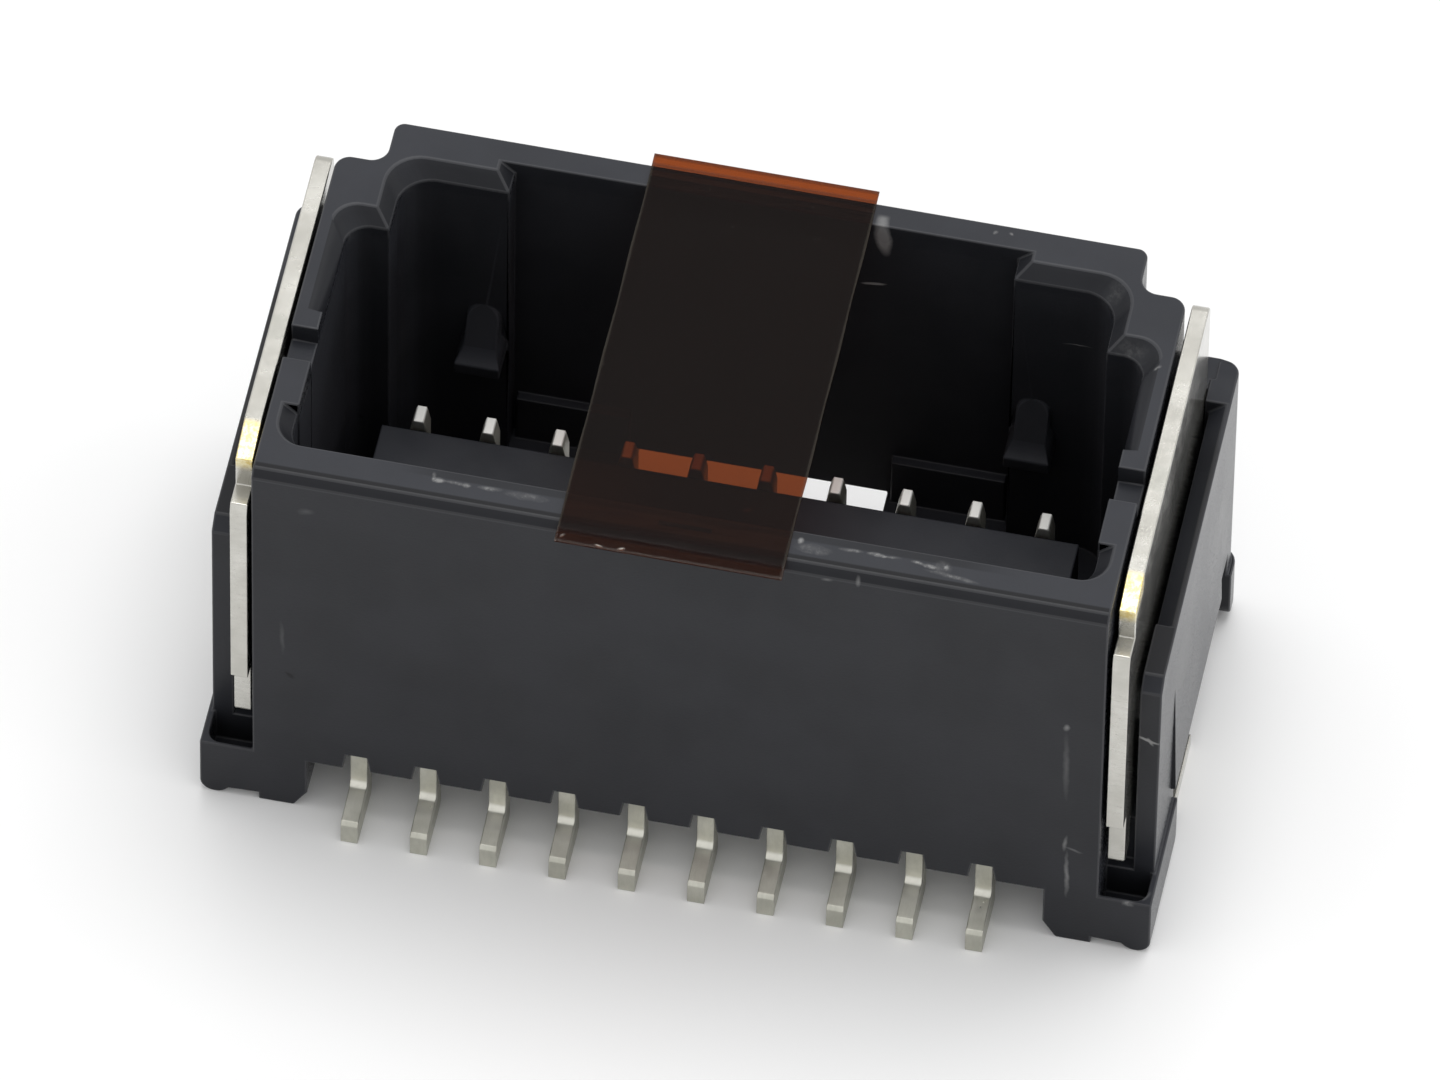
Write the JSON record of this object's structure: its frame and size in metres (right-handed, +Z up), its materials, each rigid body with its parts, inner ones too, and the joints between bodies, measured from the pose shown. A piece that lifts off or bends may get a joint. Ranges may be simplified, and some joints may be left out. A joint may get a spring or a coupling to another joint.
{
  "type": "signal connector header",
  "caption": "Tall shrouded board header: one row of pins behind a tongue, solder feet in front, a metal fitting nail at each end and a strip of amber pickup tape over the mouth.",
  "frame": {"origin": "board plane under the middle of the housing, half way through the depth of the shroud", "axes": "+X along the row of contacts to the right, -Y toward the solder feet, +Z up out of the board, the way the mating plug leaves"},
  "size_m": [0.0274, 0.0142, 0.0154],
  "materials": {
    "moulded_black": "moulded, slightly satin charcoal black",
    "contact_tin": "matte tin plate over copper alloy",
    "nail_tin": "satin tin plate, bare yellow metal at the sheared corner",
    "amber_film": "thin clear amber film"
  },
  "bodies": {
    "root": {"housing": "moulded_black", "contact_1": "contact_tin", "contact_2": "contact_tin", "contact_3": "contact_tin", "contact_4": "contact_tin", "contact_5": "contact_tin", "contact_6": "contact_tin", "contact_7": "contact_tin", "contact_8": "contact_tin", "contact_9": "contact_tin", "contact_10": "contact_tin", "left_fitting_nail": "nail_tin", "right_fitting_nail": "nail_tin", "pickup_tape": "amber_film"}
  },
  "joints": []
}
